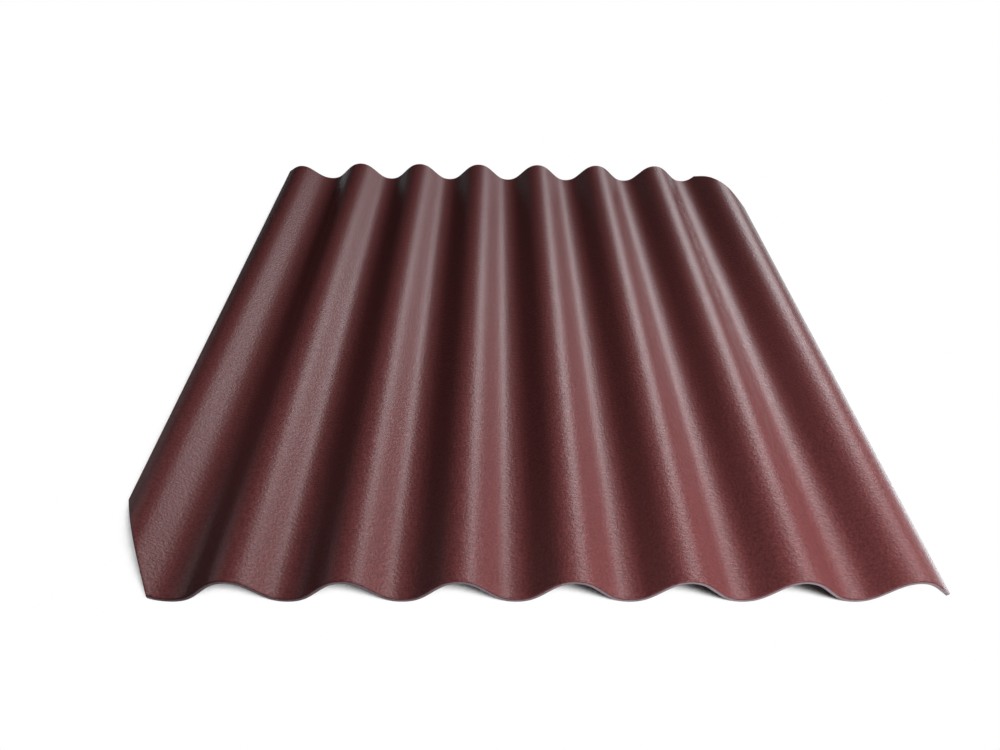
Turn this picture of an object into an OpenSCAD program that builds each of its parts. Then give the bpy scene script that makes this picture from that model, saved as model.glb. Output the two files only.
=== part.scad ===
// Corrugated fibre cement roofing sheet, lying flat with its waves along Y.
// The origin is at the middle of the sheet, level with the undersides of its valleys.
// The near end is at -Y. The left edge, at -X, has the lowered wave that goes under the next sheet.

/* [Sheet] */
// Length of the sheet along its waves
sheet_l = 1250; // [700:10:2500]
// Thickness of the wall
wall_t = 6; // [4.5:0.5:8]
// Number of crests
crest_count = 8; // [4:1:12]

/* [Ordinary waves] */
// Distance from one crest to the next
wave_pitch = 150; // [125:1:190]
// Height of the middle of the wall at a crest above a valley
wave_h = 40; // [32:1:56]
// Slope of the straight flank between a crest and a valley, in degrees
flank_deg = 43; // [36:1:50]
// Width of the flat strip along the bottom of each valley, which rests on the batten
seat_w = 4; // [2:0.5:8]

/* [Left edge, under the next sheet] */
// Height of the middle of the wall at the lowered crest above a valley
lap_wave_h = 32; // [26:1:40]
// Slope of the lowered wave's flanks, in degrees
lap_flank_deg = 35; // [31:1:40]
// Radius of the middle of the wall over the lowered crest
lap_crest_r = 34; // [26:1:44]
// Distance from the lowered crest to the left edge
under_lap_w = 34; // [28:1:46]

/* [Right edge, over the next sheet] */
// Distance from the last crest to the right edge
over_lap_w = 46; // [36:1:56]

/* [Mitred corners] */
// Width of the cut across the near left corner
near_mitre_w = 78; // [40:1:110]
// Length of the cut across the near left corner
near_mitre_l = 155; // [80:1:220]
// Width of the cut across the far right corner
far_mitre_w = 90; // [40:1:110]
// Length of the cut across the far right corner
far_mitre_l = 170; // [80:1:220]

/* [Hidden] */

// Straight steps in an arc from a flank to the top of a crest or the bottom of a valley
arc_steps = 8;
// Level of the middle of the wall in a valley
valley_z = wall_t / 2;
// Distance across half a wave, from a crest to the edge of the flat strip in a valley
half_wave = (wave_pitch - seat_w) / 2;
// Sheet width between its two long edges
sheet_w = under_lap_w + (crest_count - 1) * wave_pitch + over_lap_w;
// Place of the first crest
first_crest_x = under_lap_w - sheet_w / 2;
// How far the mitre cutters run past the edges and above and below the sheet, as a share and in mm
cutter_share = 0.3;
cutter_over = 10;

// Sum of the radii of a crest and a valley that one straight flank joins across half a wave
function radius_sum(rise, slope) = (half_wave * sin(slope) - rise * cos(slope)) / (1 - cos(slope));

// Ordinary crests and valleys have the same radius at the middle of the wall
wave_r = radius_sum(wave_h, flank_deg) / 2;
// The valley beside the lowered crest takes what that crest's radius leaves
lap_valley_r = radius_sum(lap_wave_h, lap_flank_deg) - lap_crest_r;

// Stations along the middle of the wall are [x, z, tilt], where tilt is how far
// the upward normal leans to +X. An arc with a positive radius is a crest.
function arc_stations(cx, cz, radius, from_deg, to_deg) = [
    for (i = [0 : arc_steps])
        let (tilt = from_deg + (to_deg - from_deg) * i / arc_steps)
        [cx + radius * sin(tilt), cz + radius * cos(tilt), tilt]
];

function crest_x(i) = first_crest_x + i * wave_pitch;
function crest_r(i) = i == 0 ? lap_crest_r : wave_r;
function crest_z(i) = valley_z + (i == 0 ? lap_wave_h : wave_h);
function crest_slope(i) = i == 0 ? lap_flank_deg : flank_deg;
function valley_r(i) = i == 0 ? lap_valley_r : wave_r;

// One half of a crest: side is -1 for the rising half and 1 for the falling half
function crest_half(i, side) = let (slope = crest_slope(i), cz = crest_z(i) - crest_r(i))
    side < 0 ? arc_stations(crest_x(i), cz, crest_r(i), -slope, 0)
             : arc_stations(crest_x(i), cz, crest_r(i), 0, slope);

// The valley after crest i, down one side, over the flat strip and up the other side
function valley(i) = let (mid_x = crest_x(i) + wave_pitch / 2, left_r = valley_r(i))
    concat(
        arc_stations(mid_x - seat_w / 2, valley_z + left_r, -left_r, crest_slope(i), 0),
        arc_stations(mid_x + seat_w / 2, valley_z + wave_r, -wave_r, 0, -flank_deg)
    );

// The square-cut end of the wall on the straight flank of crest i, where side is
// -1 for the left edge and 1 for the right. Its upper corner is edge_w from the crest.
function edge_station(i, side, edge_w) = let (
        slope = crest_slope(i),
        radius = crest_r(i),
        reach = edge_w - wall_t / 2 * sin(slope),
        fall = radius * (1 - cos(slope)) + (reach - radius * sin(slope)) * tan(slope)
    ) [crest_x(i) + side * reach, crest_z(i) - fall, side * slope];

last_crest = crest_count - 1;
// A crest's two halves share its top station, so the falling half leaves it out
stations = concat(
    [edge_station(0, -1, under_lap_w)],
    [for (i = [0 : last_crest]) each concat(
        crest_half(i, -1),
        [for (k = [1 : arc_steps]) crest_half(i, 1)[k]],
        i < last_crest ? valley(i) : []
    )],
    [edge_station(last_crest, 1, over_lap_w)]
);

// A point on the upper face (side 1) or the lower face (side -1) of the wall at a station
function face_point(station, side) = [
    station[0] + side * wall_t / 2 * sin(station[2]),
    station[1] + side * wall_t / 2 * cos(station[2])
];

// The section across the waves: along the upper face and back along the lower one
module section() {
    last = len(stations) - 1;
    polygon(concat(
        [for (i = [0 : last]) face_point(stations[i], 1)],
        [for (i = [last : -1 : 0]) face_point(stations[i], -1)]
    ));
}

// A three-cornered cutter for a mitre of this width and length. Its right angle is just
// outside the sheet's corner at the origin, and its long side lies on the cut.
module mitre_cutter(width, length) {
    translate([-width * cutter_share, -length * cutter_share, -cutter_over])
        linear_extrude(wall_t + max(wave_h, lap_wave_h) + 2 * cutter_over)
            polygon((1 + 2 * cutter_share) * [[0, 0], [width, 0], [0, length]]);
}

module corrugated_sheet() {
    color("#6b3f40")
    difference() {
        translate([0, sheet_l / 2, 0])
            rotate([90, 0, 0])
                linear_extrude(sheet_l) section();
        translate([-sheet_w / 2, -sheet_l / 2, 0])
            mitre_cutter(near_mitre_w, near_mitre_l);
        translate([sheet_w / 2, sheet_l / 2, 0])
            rotate([0, 0, 180])
                mitre_cutter(far_mitre_w, far_mitre_l);
    }
}

corrugated_sheet();
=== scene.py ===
"""A corrugated fibre cement roofing sheet, painted brown-red, lying on a white studio floor."""

import math

import bmesh
import bpy
from mathutils import Matrix, Vector, noise


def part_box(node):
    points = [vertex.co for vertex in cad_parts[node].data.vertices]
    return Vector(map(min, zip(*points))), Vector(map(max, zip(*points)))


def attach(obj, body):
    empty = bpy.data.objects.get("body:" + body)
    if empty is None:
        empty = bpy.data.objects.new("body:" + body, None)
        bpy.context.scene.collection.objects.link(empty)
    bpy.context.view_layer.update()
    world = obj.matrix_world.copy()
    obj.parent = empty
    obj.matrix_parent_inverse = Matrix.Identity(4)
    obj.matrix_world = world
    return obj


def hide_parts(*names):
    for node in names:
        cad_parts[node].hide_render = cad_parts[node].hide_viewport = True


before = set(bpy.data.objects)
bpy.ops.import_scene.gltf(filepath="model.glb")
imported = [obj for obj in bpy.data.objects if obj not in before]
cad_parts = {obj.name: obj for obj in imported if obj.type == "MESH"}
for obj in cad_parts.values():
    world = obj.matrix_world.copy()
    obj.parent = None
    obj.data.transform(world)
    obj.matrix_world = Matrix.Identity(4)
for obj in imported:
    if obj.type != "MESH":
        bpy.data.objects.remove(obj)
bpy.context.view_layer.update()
sheet_low, sheet_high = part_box("corrugated_sheet")

MM = 0.001

# The sheet, as it is cut and pressed. The long edges and ends come from the frame.
SHEET_W = sheet_high.x - sheet_low.x
SHEET_L = sheet_high.y - sheet_low.y
WALL = 6 * MM
CREST_COUNT = 8
PITCH = 150 * MM
SEAT_W = 4 * MM
WAVE_H = 40 * MM
FLANK = math.radians(43)
# The left wave is pressed lower, so that the next sheet lies flat over it.
LAP_WAVE_H = 32 * MM
LAP_FLANK = math.radians(35)
LAP_CREST_R = 34 * MM
UNDER_LAP_W = 34 * MM
OVER_LAP_W = 46 * MM
# The mitred corners, width across the waves and length along them.
NEAR_MITRE = (78 * MM, 155 * MM)
FAR_MITRE = (90 * MM, 170 * MM)

# How finely the shape is drawn.
ARC_STEPS = 12
FLANK_STEPS = 12
EASE_STEPS = 20
ROWS_ALONG = 50
EDGE_BAND = 3 * MM
UPPER_ROUND = 2.0 * MM
LOWER_ROUND = 0.5 * MM
ROUND_STEPS = 3
# Points nearer than this, where a cut passes close by a line, are joined.
MEND = 0.4 * MM
WAVINESS = 0.25 * MM

# The lamps are a little cool.
LAMP_COLOUR = (1.0, 1.0, 1.03)

PAINTED, BARE, CUT = 0, 1, 2


# ---- materials ----


def linear(hex_colour):
    """An sRGB hex colour as the linear RGBA that the shaders take."""
    parts = [int(hex_colour[i : i + 2], 16) / 255 for i in (1, 3, 5)]
    return [c / 12.92 if c <= 0.04045 else ((c + 0.055) / 1.055) ** 2.4 for c in parts] + [1.0]


def add_node(tree, kind, inputs=None, **settings):
    """Adds a node, with its settings, and sets or links its inputs."""
    made = tree.nodes.new(kind)
    for name, value in settings.items():
        setattr(made, name, value)
    for socket, value in (inputs or {}).items():
        if isinstance(value, bpy.types.NodeSocket):
            tree.links.new(value, made.inputs[socket])
        else:
            made.inputs[socket].default_value = value
    return made


def new_material(name):
    """An empty material, and the Object coordinates that its patterns lie on."""
    material = bpy.data.materials.new(name)
    material.use_nodes = True
    tree = material.node_tree
    tree.nodes.clear()
    place = add_node(tree, "ShaderNodeTexCoord").outputs["Object"]
    return material, tree, place


def coated_fibre_cement():
    """Fibre cement sheet with a roller-dried acrylic coat: semi-matt, so that highlights are broad,
    and the felt marks of the press show through it as short lines across the waves."""
    material, tree, place = new_material("roller_coated_fibre_cement")

    # Felt marks: about 3 mm apart along the sheet and 14 mm long across it.
    felt_place = add_node(
        tree, "ShaderNodeMapping", {"Vector": place, "Scale": (1 / 0.014, 1 / 0.003, 1 / 0.014)}
    ).outputs["Vector"]
    felt = add_node(
        tree,
        "ShaderNodeTexNoise",
        {"Vector": felt_place, "Scale": 1.0, "Detail": 3.0, "Roughness": 0.6},
    ).outputs["Fac"]
    # Grain of the dried paint: 4 mm, drawn coarser than it is so that it shows.
    grain = add_node(
        tree,
        "ShaderNodeTexNoise",
        {"Vector": place, "Scale": 1 / 0.004, "Detail": 3.0, "Roughness": 0.6},
    ).outputs["Fac"]
    # Long bands from the coating rollers: 14 mm wide and 600 mm long.
    band_place = add_node(
        tree, "ShaderNodeMapping", {"Vector": place, "Scale": (1 / 0.014, 1 / 0.6, 1 / 0.03)}
    ).outputs["Vector"]
    bands = add_node(
        tree,
        "ShaderNodeTexNoise",
        {"Vector": band_place, "Scale": 1.0, "Detail": 2.0, "Roughness": 0.5},
    ).outputs["Fac"]

    shade = add_node(
        tree,
        "ShaderNodeMix",
        {"Factor": bands, 6: linear("#663434"), 7: linear("#713b3b")},
        data_type="RGBA",
    ).outputs[2]
    shade = add_node(
        tree,
        "ShaderNodeMix",
        {
            "Factor": add_node(
                tree, "ShaderNodeMapRange", {"Value": grain, "From Min": 0.35, "From Max": 0.65}
            ).outputs["Result"],
            6: linear("#582b2b"),
            7: shade,
        },
        data_type="RGBA",
    ).outputs[2]
    # Beside the right edge the coat is painted pale grey. This is a painted reflection of the white
    # floor, which the steep last flank shows at a glancing angle.
    painted_edge_reflection = add_node(
        tree,
        "ShaderNodeMapRange",
        {
            "Value": add_node(tree, "ShaderNodeSeparateXYZ", {"Vector": place}).outputs["X"],
            "From Min": sheet_high.x - 15 * MM,
            "From Max": sheet_high.x - 7 * MM,
        },
    ).outputs["Result"]
    shade = add_node(
        tree,
        "ShaderNodeMix",
        {"Factor": painted_edge_reflection, 6: shade, 7: linear("#94888a")},
        data_type="RGBA",
    ).outputs[2]

    gloss = add_node(
        tree,
        "ShaderNodeMapRange",
        {"Value": felt, "From Min": 0.3, "From Max": 0.7, "To Min": 0.36, "To Max": 0.46},
    ).outputs["Result"]
    # Seen along the surface, the coat mirrors what is beyond it, as all dried paint does.
    glancing = add_node(
        tree,
        "ShaderNodeMapRange",
        {
            "Value": add_node(tree, "ShaderNodeLayerWeight", {"Blend": 0.5}).outputs["Facing"],
            "From Min": 0.74,
            "From Max": 0.88,
            "To Min": 1.0,
            "To Max": 0.3,
        },
    ).outputs["Result"]
    gloss = add_node(
        tree, "ShaderNodeMath", {0: gloss, 1: glancing}, operation="MULTIPLY"
    ).outputs["Value"]
    relief = add_node(
        tree, "ShaderNodeBump", {"Height": felt, "Strength": 1.0, "Distance": 0.4 * MM}
    ).outputs["Normal"]
    relief = add_node(
        tree,
        "ShaderNodeBump",
        {"Height": grain, "Normal": relief, "Strength": 1.0, "Distance": 0.9 * MM},
    ).outputs["Normal"]
    paint = add_node(
        tree,
        "ShaderNodeBsdfPrincipled",
        {
            "Base Color": shade,
            "Roughness": gloss,
            "Normal": relief,
            "IOR": 1.5,
            "Specular IOR Level": 0.30,
        },
    ).outputs["BSDF"]
    add_node(tree, "ShaderNodeOutputMaterial", {"Surface": paint})
    return material


def bare_fibre_cement():
    """Pressed fibre cement, never coated: matt grey, with the weave of the felt and darker clouds."""
    material, tree, place = new_material("bare_fibre_cement")
    clouds = add_node(
        tree, "ShaderNodeTexNoise", {"Vector": place, "Scale": 1 / 0.06, "Detail": 5.0}
    ).outputs["Fac"]
    weave_place = add_node(
        tree, "ShaderNodeMapping", {"Vector": place, "Scale": (1 / 0.012, 1 / 0.002, 1 / 0.012)}
    ).outputs["Vector"]
    weave = add_node(
        tree, "ShaderNodeTexNoise", {"Vector": weave_place, "Scale": 1.0, "Detail": 4.0}
    ).outputs["Fac"]
    shade = add_node(
        tree,
        "ShaderNodeMix",
        {"Factor": clouds, 6: linear("#76726c"), 7: linear("#9a958d")},
        data_type="RGBA",
    ).outputs[2]
    relief = add_node(
        tree, "ShaderNodeBump", {"Height": weave, "Strength": 1.0, "Distance": 0.15 * MM}
    ).outputs["Normal"]
    cement = add_node(
        tree,
        "ShaderNodeBsdfPrincipled",
        {"Base Color": shade, "Roughness": 0.85, "Normal": relief, "IOR": 1.5},
    ).outputs["BSDF"]
    add_node(tree, "ShaderNodeOutputMaterial", {"Surface": cement})
    return material


def cut_fibre_cement():
    """The sawn and water-cut ends of the wall: matt mauve-grey, dusted with paint, in thin layers."""
    material, tree, place = new_material("cut_fibre_cement")
    crumbs = add_node(
        tree, "ShaderNodeTexNoise", {"Vector": place, "Scale": 1 / 0.003, "Detail": 4.0}
    ).outputs["Fac"]
    shade = add_node(
        tree,
        "ShaderNodeMix",
        {"Factor": crumbs, 6: linear("#75656a"), 7: linear("#96878b")},
        data_type="RGBA",
    ).outputs[2]
    relief = add_node(
        tree, "ShaderNodeBump", {"Height": crumbs, "Strength": 1.0, "Distance": 0.3 * MM}
    ).outputs["Normal"]
    cement = add_node(
        tree,
        "ShaderNodeBsdfPrincipled",
        {"Base Color": shade, "Roughness": 0.8, "Normal": relief, "IOR": 1.5},
    ).outputs["BSDF"]
    add_node(tree, "ShaderNodeOutputMaterial", {"Surface": cement})
    return material


# ---- the sheet ----


def bend(mesh, tip, centre_x, centre_z, angle, steps):
    """Carries the line on round an arc, and gives its new tip. A positive angle bends it over a crest."""
    made = bmesh.ops.spin(
        mesh,
        geom=[tip],
        cent=(centre_x, tip.co.y, centre_z),
        axis=(0, 1, 0),
        angle=angle,
        steps=steps,
    )
    return made["geom_last"][0]


def run_on(mesh, tip, run, slope, lengths):
    """Carries the line straight on, at a slope, in pieces of the given shares of the run."""
    for share in lengths:
        tip = bmesh.ops.extrude_vert_indiv(mesh, verts=[tip])["verts"][0]
        tip.co += Vector((run * share, 0, -run * share * math.tan(slope)))
    return tip


def radius_sum(rise, slope):
    """The radii of a crest and a valley, added, where one flank joins them across half a wave."""
    half_wave = (PITCH - SEAT_W) / 2
    return (half_wave * math.sin(slope) - rise * math.cos(slope)) / (1 - math.cos(slope))


def upper_line(mesh):
    """Draws the sheet's upper face across its waves, from the left edge to the right."""
    wave_r = radius_sum(WAVE_H, FLANK) / 2
    lap_valley_r = radius_sum(LAP_WAVE_H, LAP_FLANK) - LAP_CREST_R
    crest_x = sheet_low.x + UNDER_LAP_W
    outer_r = LAP_CREST_R + WALL / 2
    edge_run = UNDER_LAP_W - outer_r * math.sin(LAP_FLANK)
    edge_z = (
        sheet_low.z
        + WALL
        + LAP_WAVE_H
        - outer_r * (1 - math.cos(LAP_FLANK))
        - edge_run * math.tan(LAP_FLANK)
    )
    tip = mesh.verts.new((sheet_low.x, sheet_low.y, edge_z))
    band = EDGE_BAND * math.cos(LAP_FLANK) / edge_run
    tip = run_on(mesh, tip, edge_run, -LAP_FLANK, (band, (1 - band) / 2, (1 - band) / 2))
    for crest in range(CREST_COUNT):
        lap = crest == 0
        slope = LAP_FLANK if lap else FLANK
        outer_r = (LAP_CREST_R if lap else wave_r) + WALL / 2
        crest_z = sheet_low.z + WALL + (LAP_WAVE_H if lap else WAVE_H)
        tip = bend(mesh, tip, crest_x, crest_z - outer_r, 2 * slope, 2 * ARC_STEPS)
        if crest < CREST_COUNT - 1:
            valley_x = crest_x + PITCH / 2
            left_r = (lap_valley_r if lap else wave_r) - WALL / 2
            right_r = wave_r - WALL / 2
            floor_z = sheet_low.z + WALL
            half_wave = (PITCH - SEAT_W) / 2
            falling = half_wave - (outer_r + left_r) * math.sin(slope)
            rising = half_wave - 2 * wave_r * math.sin(FLANK)
            tip = run_on(mesh, tip, falling, slope, (1 / FLANK_STEPS,) * FLANK_STEPS)
            tip = bend(mesh, tip, valley_x - SEAT_W / 2, floor_z + left_r, -slope, ARC_STEPS)
            tip = run_on(mesh, tip, SEAT_W, 0, (1,))
            tip = bend(mesh, tip, valley_x + SEAT_W / 2, floor_z + right_r, -FLANK, ARC_STEPS)
            tip = run_on(mesh, tip, rising, -FLANK, (1 / FLANK_STEPS,) * FLANK_STEPS)
            crest_x += PITCH
    edge_run = OVER_LAP_W - outer_r * math.sin(FLANK)
    band = EDGE_BAND * math.cos(FLANK) / edge_run
    run_on(mesh, tip, edge_run, FLANK, ((1 - band) / 2, (1 - band) / 2, band))
    ease(mesh)


def ease(mesh):
    """Lets each bend run into the flank beside it, as in a sheet that was pressed wet, and then
    stretches the waves back to their height."""
    high = max(v.co.z for v in mesh.verts)
    low = min(v.co.z for v in mesh.verts)
    held = EDGE_BAND * 1.5
    free = [v for v in mesh.verts if sheet_low.x + held < v.co.x < sheet_high.x - held]
    for _ in range(EASE_STEPS):
        bmesh.ops.smooth_vert(
            mesh, verts=free, factor=0.5, use_axis_x=True, use_axis_y=False, use_axis_z=True
        )
    eased_high = max(v.co.z for v in free)
    eased_low = min(v.co.z for v in free)
    stretch = (high - low) / (eased_high - eased_low)
    middle = Vector((0, 0, (eased_high + eased_low) / 2))
    bmesh.ops.scale(
        mesh, verts=mesh.verts[:], vec=(1, 1, stretch), space=Matrix.Translation(-middle)
    )
    bmesh.ops.translate(mesh, verts=mesh.verts[:], vec=(0, 0, (high + low) / 2 - middle.z))


def cut_corner(mesh, corner, mitre, inward):
    """Saws a mitre off a corner, upright through the wall, and closes the cut."""
    across, along = mitre
    side_x, side_y = inward
    on_cut = Vector((corner.x + side_x * across, corner.y, 0))
    away = Vector((-side_x * along, -side_y * across, 0)).normalized()
    everything = mesh.verts[:] + mesh.edges[:] + mesh.faces[:]
    bmesh.ops.bisect_plane(
        mesh, geom=everything, dist=0.02 * MM, plane_co=on_cut, plane_no=away, clear_outer=True
    )
    open_edges = [e for e in mesh.edges if e.is_boundary]
    bmesh.ops.holes_fill(mesh, edges=open_edges, sides=0)
    everything = mesh.verts[:] + mesh.edges[:] + mesh.faces[:]
    bmesh.ops.bisect_plane(
        mesh,
        geom=everything,
        dist=0.02 * MM,
        plane_co=on_cut - away * EDGE_BAND,
        plane_no=away,
    )


def region(face):
    """Which finish a face has before the edges are rounded: painted top, bare underside or cut edge."""
    if face.normal.z > 0.71:
        return PAINTED
    if face.normal.z < -0.71:
        return BARE
    return CUT


def round_edges(mesh, kinds, radius, finish):
    """Rounds the edges between two kinds of face, and gives the rounding one finish."""
    edges = [
        e
        for e in mesh.edges
        if len(e.link_faces) == 2
        and {f.material_index for f in e.link_faces} == kinds
        and e.calc_face_angle(0) > math.radians(40)
    ]
    made = bmesh.ops.bevel(
        mesh,
        geom=edges,
        offset=radius,
        offset_type="OFFSET",
        segments=ROUND_STEPS,
        profile=0.5,
        affect="EDGES",
        clamp_overlap=False,
        material=-1,
    )
    for face in made["faces"]:
        face.material_index = finish


def roofing_sheet():
    """The whole sheet: bent line, drawn out to its length, thickened, mitred and its edges rounded."""
    mesh = bmesh.new()
    upper_line(mesh)
    made = bmesh.ops.extrude_edge_only(mesh, edges=mesh.edges[:])["geom"]
    far_end = [v for v in made if isinstance(v, bmesh.types.BMVert)]
    bmesh.ops.translate(mesh, verts=far_end, vec=(0, SHEET_L, 0))
    bmesh.ops.recalc_face_normals(mesh, faces=mesh.faces[:])
    mesh.normal_update()
    if sum(f.normal.z for f in mesh.faces) < 0:
        bmesh.ops.reverse_faces(mesh, faces=mesh.faces[:])
    bmesh.ops.solidify(mesh, geom=mesh.faces[:], thickness=WALL)
    for end in (-1, 1):
        everything = mesh.verts[:] + mesh.edges[:] + mesh.faces[:]
        bmesh.ops.bisect_plane(
            mesh,
            geom=everything,
            dist=0.02 * MM,
            plane_co=(0, end * (SHEET_L / 2 - EDGE_BAND), 0),
            plane_no=(0, 1, 0),
        )
    cut_corner(mesh, Vector((sheet_low.x, sheet_low.y, 0)), NEAR_MITRE, (1, 1))
    cut_corner(mesh, Vector((sheet_high.x, sheet_high.y, 0)), FAR_MITRE, (-1, -1))
    bmesh.ops.remove_doubles(mesh, verts=mesh.verts[:], dist=MEND)
    bmesh.ops.recalc_face_normals(mesh, faces=mesh.faces[:])
    mesh.normal_update()
    for face in mesh.faces:
        face.material_index = region(face)
    round_edges(mesh, {PAINTED, CUT}, UPPER_ROUND, PAINTED)
    round_edges(mesh, {BARE, CUT}, LOWER_ROUND, CUT)
    round_edges(mesh, {CUT}, LOWER_ROUND, CUT)
    bmesh.ops.dissolve_degenerate(mesh, edges=mesh.edges[:], dist=0.01 * MM)
    long_edges = [e for e in mesh.edges if e.calc_length() > SHEET_L / 2]
    bmesh.ops.subdivide_edges(mesh, edges=long_edges, cuts=ROWS_ALONG, use_grid_fill=True)
    for vert in mesh.verts:
        spot = Vector((vert.co.x / 0.19, vert.co.y / 0.23, 0))
        vert.co.z += WAVINESS * noise.noise(spot)
    lowest = min(v.co.z for v in mesh.verts)
    bmesh.ops.translate(mesh, verts=mesh.verts[:], vec=(0, 0, sheet_low.z - lowest))
    for face in mesh.faces:
        face.smooth = True
    for edge in mesh.edges:
        edge.smooth = edge.calc_face_angle(0) < math.radians(38)
    data = bpy.data.meshes.new("roofing_sheet")
    mesh.to_mesh(data)
    mesh.free()
    piece = bpy.data.objects.new("roofing_sheet", data)
    bpy.context.scene.collection.objects.link(piece)
    for material in (coated_fibre_cement(), bare_fibre_cement(), cut_fibre_cement()):
        data.materials.append(material)
    return piece


# ---- floor, light and camera ----


def studio_floor():
    """White paper that goes on past the view. The camera sees it glow, except close under the
    waves, where it keeps the sheet's contact shadow."""
    material, tree, place = new_material("white_studio_floor")
    rays = add_node(tree, "ShaderNodeLightPath")
    matt = add_node(tree, "ShaderNodeBsdfDiffuse", {"Color": linear("#cccccc")}).outputs["BSDF"]
    shade = add_node(tree, "ShaderNodeBsdfDiffuse", {"Color": linear("#453c3c")}).outputs["BSDF"]
    glow = add_node(
        tree, "ShaderNodeEmission", {"Color": linear("#ffffff"), "Strength": 1.0}
    ).outputs["Emission"]
    # The normal leans to the front right, so that each arch is darker under its right side.
    uphill = add_node(
        tree,
        "ShaderNodeVectorMath",
        {0: place, 1: (-1.6, 0.6, 0.0)},
        operation="DOT_PRODUCT",
    ).outputs["Value"]
    leaning = add_node(
        tree, "ShaderNodeBump", {"Height": uphill, "Strength": 1.0, "Distance": 1.0}
    ).outputs["Normal"]
    open_air = add_node(
        tree, "ShaderNodeAmbientOcclusion", {"Normal": leaning, "Distance": 0.3}, samples=24
    ).outputs["AO"]
    openness = add_node(
        tree, "ShaderNodeMapRange", {"Value": open_air, "From Min": 0.48, "From Max": 0.53}
    ).outputs["Result"]
    lit = add_node(tree, "ShaderNodeMixShader", {"Fac": openness, 1: shade, 2: glow}).outputs[
        "Shader"
    ]
    shown = add_node(
        tree,
        "ShaderNodeMixShader",
        {"Fac": rays.outputs["Is Camera Ray"], 1: matt, 2: lit},
    ).outputs["Shader"]
    add_node(tree, "ShaderNodeOutputMaterial", {"Surface": shown})
    mesh = bmesh.new()
    bmesh.ops.create_grid(mesh, x_segments=1, y_segments=1, size=40)
    data = bpy.data.meshes.new("studio_floor")
    mesh.to_mesh(data)
    mesh.free()
    floor = bpy.data.objects.new("studio_floor", data)
    bpy.context.scene.collection.objects.link(floor)
    data.materials.append(material)
    return floor


def softbox(name, azimuth, elevation, distance, size, level):
    """A soft light at a compass angle from +Y towards +X, turned to face the middle of the sheet.
    Its level is how bright it alone makes a white floor there, where 1 is white."""
    turn, lift = math.radians(azimuth), math.radians(elevation)
    lamp = bpy.data.lights.new(name, "AREA")
    lamp.shape = "RECTANGLE"
    lamp.size, lamp.size_y = size
    lamp.color = LAMP_COLOUR
    lamp.energy = level * (math.pi * distance) ** 2 / math.sin(lift)
    holder = bpy.data.objects.new(name, lamp)
    bpy.context.scene.collection.objects.link(holder)
    away = Vector(
        (math.sin(turn) * math.cos(lift), math.cos(turn) * math.cos(lift), math.sin(lift))
    )
    facing = away.to_track_quat("Z", "Y").to_matrix().to_4x4()
    holder.matrix_world = Matrix.Translation(away * distance) @ facing
    return holder


def studio_light():
    """A wide soft light behind on the right, two smaller ones in front, weak ones on the left and
    above on the right, and almost dark air."""
    softbox("back_right_softbox", 36, 30, 4.0, (1.8, 1.2), 0.37)
    softbox("front_right_softbox", 122, 31, 1.2, (0.5, 0.5), 0.235)
    softbox("front_softbox", 160, 28, 1.2, (0.5, 0.5), 0.185)
    softbox("left_softbox", -110, 22, 1.0, (0.3, 0.3), 0.024)
    softbox("upper_right_softbox", 100, 55, 0.9, (0.3, 0.3), 0.11)
    world = bpy.data.worlds.new("studio_air")
    bpy.context.scene.world = world
    world.use_nodes = True
    tree = world.node_tree
    tree.nodes.clear()
    seen = add_node(tree, "ShaderNodeLightPath")
    dim = add_node(
        tree, "ShaderNodeBackground", {"Color": linear("#ffffff"), "Strength": 0.01}
    ).outputs["Background"]
    white = add_node(
        tree, "ShaderNodeBackground", {"Color": linear("#ffffff"), "Strength": 1.0}
    ).outputs["Background"]
    shown = add_node(
        tree, "ShaderNodeMixShader", {"Fac": seen.outputs["Is Camera Ray"], 1: dim, 2: white}
    ).outputs["Shader"]
    add_node(tree, "ShaderNodeOutputWorld", {"Surface": shown})


def studio_camera():
    """Standing at the near end, above the sheet and looking down along its waves."""
    lens = bpy.data.cameras.new("studio_camera")
    lens.sensor_width = 36
    lens.lens = 27.07
    lens.shift_x = -0.008
    lens.clip_start = 0.05
    camera = bpy.data.objects.new("studio_camera", lens)
    bpy.context.scene.collection.objects.link(camera)
    turn = (
        Matrix.Rotation(math.radians(-1.22), 4, "Z")
        @ Matrix.Rotation(math.radians(-39.862), 4, "X")
        @ Matrix.Rotation(math.radians(-1.07), 4, "Y")
        @ Matrix.Rotation(math.radians(90), 4, "X")
    )
    camera.matrix_world = Matrix.Translation((-0.0347, -1.1938, 0.8649)) @ turn
    bpy.context.scene.camera = camera


bpy.context.scene.view_settings.view_transform = "Standard"
sheet = roofing_sheet()
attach(sheet, "root")
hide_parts("corrugated_sheet")
studio_floor()
studio_light()
studio_camera()
